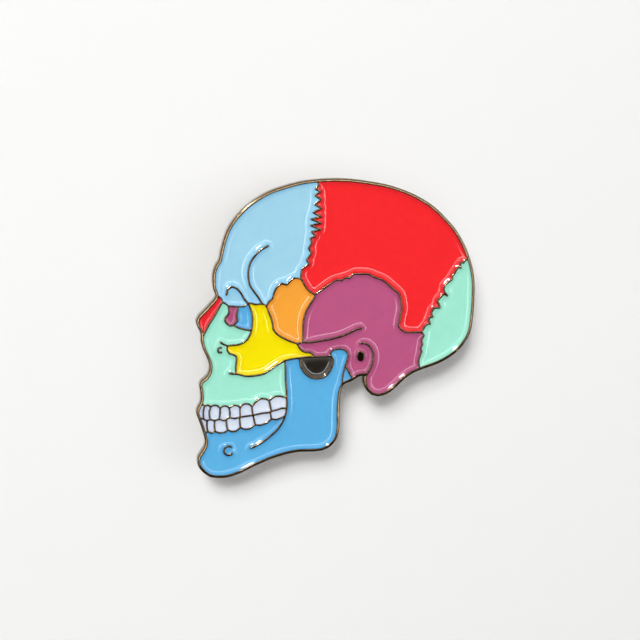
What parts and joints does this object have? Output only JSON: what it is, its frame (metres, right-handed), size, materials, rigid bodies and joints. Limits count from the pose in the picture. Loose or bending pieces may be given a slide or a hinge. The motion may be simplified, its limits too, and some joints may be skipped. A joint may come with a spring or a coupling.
{
  "type": "enamel lapel pin",
  "caption": "Side-view skull lapel pin: black metal lines, coloured enamel cells, two posts with butterfly clutches.",
  "frame": {"origin": "under the middle of the pin, on the surface the clutches' wings rest on", "axes": "+Z out of the enamelled face, +Y to the crown, +X to the nape"},
  "size_m": [0.034, 0.036, 0.0106],
  "materials": {
    "black_nickel": "black nickel plate over die-struck iron, polished",
    "sky_blue": "baked enamel, slightly sunk, glossy",
    "red": "baked enamel, slightly sunk, glossy",
    "mint": "baked enamel, slightly sunk, glossy",
    "plum": "baked enamel, slightly sunk, glossy",
    "orange": "baked enamel, slightly sunk, glossy",
    "yellow": "baked enamel, slightly sunk, glossy",
    "blue": "baked enamel, slightly sunk, glossy",
    "black": "baked enamel, slightly sunk, glossy",
    "tooth_white": "baked enamel, slightly sunk, glossy",
    "brass": "rolled brass, drawn and barrel polished",
    "spring_steel": "nickel-plated spring strip"
  },
  "bodies": {
    "pin": {"base_plate": "black_nickel", "frontal_enamel": "sky_blue", "parietal_enamel": "red", "occipital_enamel": "mint", "temporal_enamel": "plum", "sphenoid_enamel": "orange", "zygomatic_enamel": "yellow", "nasal_enamel": "red", "lacrimal_enamel": "plum", "orbit_enamel": "blue", "maxilla_enamel": "mint", "mandible_enamel": "blue", "styloid_enamel": "blue", "notch_enamel": "black", "upper_tooth_1": "tooth_white", "upper_tooth_2": "tooth_white", "upper_tooth_3": "tooth_white", "upper_tooth_4": "tooth_white", "upper_tooth_5": "tooth_white", "upper_tooth_6": "tooth_white", "upper_tooth_7": "tooth_white", "upper_tooth_8": "tooth_white", "lower_tooth_1": "tooth_white", "lower_tooth_2": "tooth_white", "lower_tooth_3": "tooth_white", "lower_tooth_4": "tooth_white", "lower_tooth_5": "tooth_white", "lower_tooth_6": "tooth_white", "lower_tooth_7": "tooth_white", "left_post": "black_nickel", "right_post": "black_nickel"},
    "left_clutch": {"left_clutch_base": "brass"},
    "left_cap": {"left_clutch_cap": "brass"},
    "left_upper_wing": {"left_wing_upper": "spring_steel"},
    "left_lower_wing": {"left_wing_lower": "spring_steel"},
    "right_clutch": {"right_clutch_base": "brass"},
    "right_cap": {"right_clutch_cap": "brass"},
    "right_upper_wing": {"right_wing_upper": "spring_steel"},
    "right_lower_wing": {"right_wing_lower": "spring_steel"}
  },
  "joints": [
    {"name": "left_clutch_pull", "type": "slide", "parent": "pin", "child": "left_clutch", "axis": [0, 0, -1], "range_m": [0, 0.014]},
    {"name": "left_cap_spin", "type": "hinge", "parent": "left_clutch", "child": "left_cap", "pos_m": [-0.00725, 0.003, 0.00563], "axis": [0, 0, 1], "continuous": true},
    {"name": "left_upper_squeeze", "type": "hinge", "parent": "left_cap", "child": "left_upper_wing", "pos_m": [-0.00725, 0.00443, 0.00218], "axis": [-1, 0, 0], "range_deg": [0, 14], "stiffness_Nm_per_rad": 0.01},
    {"name": "left_lower_squeeze", "type": "hinge", "parent": "left_cap", "child": "left_lower_wing", "pos_m": [-0.00725, 0.00157, 0.00218], "axis": [1, 0, 0], "range_deg": [0, 14], "stiffness_Nm_per_rad": 0.01},
    {"name": "right_clutch_pull", "type": "slide", "parent": "pin", "child": "right_clutch", "axis": [0, 0, -1], "range_m": [0, 0.014]},
    {"name": "right_cap_spin", "type": "hinge", "parent": "right_clutch", "child": "right_cap", "pos_m": [0.00725, 0.003, 0.00563], "axis": [0, 0, 1], "continuous": true},
    {"name": "right_upper_squeeze", "type": "hinge", "parent": "right_cap", "child": "right_upper_wing", "pos_m": [0.00725, 0.00443, 0.00218], "axis": [-1, 0, 0], "range_deg": [0, 14], "stiffness_Nm_per_rad": 0.01},
    {"name": "right_lower_squeeze", "type": "hinge", "parent": "right_cap", "child": "right_lower_wing", "pos_m": [0.00725, 0.00157, 0.00218], "axis": [1, 0, 0], "range_deg": [0, 14], "stiffness_Nm_per_rad": 0.01}
  ],
  "couplings": [
    {"joint": "left_lower_squeeze", "follows": "left_upper_squeeze", "ratio": 1},
    {"joint": "right_lower_squeeze", "follows": "right_upper_squeeze", "ratio": 1}
  ]
}
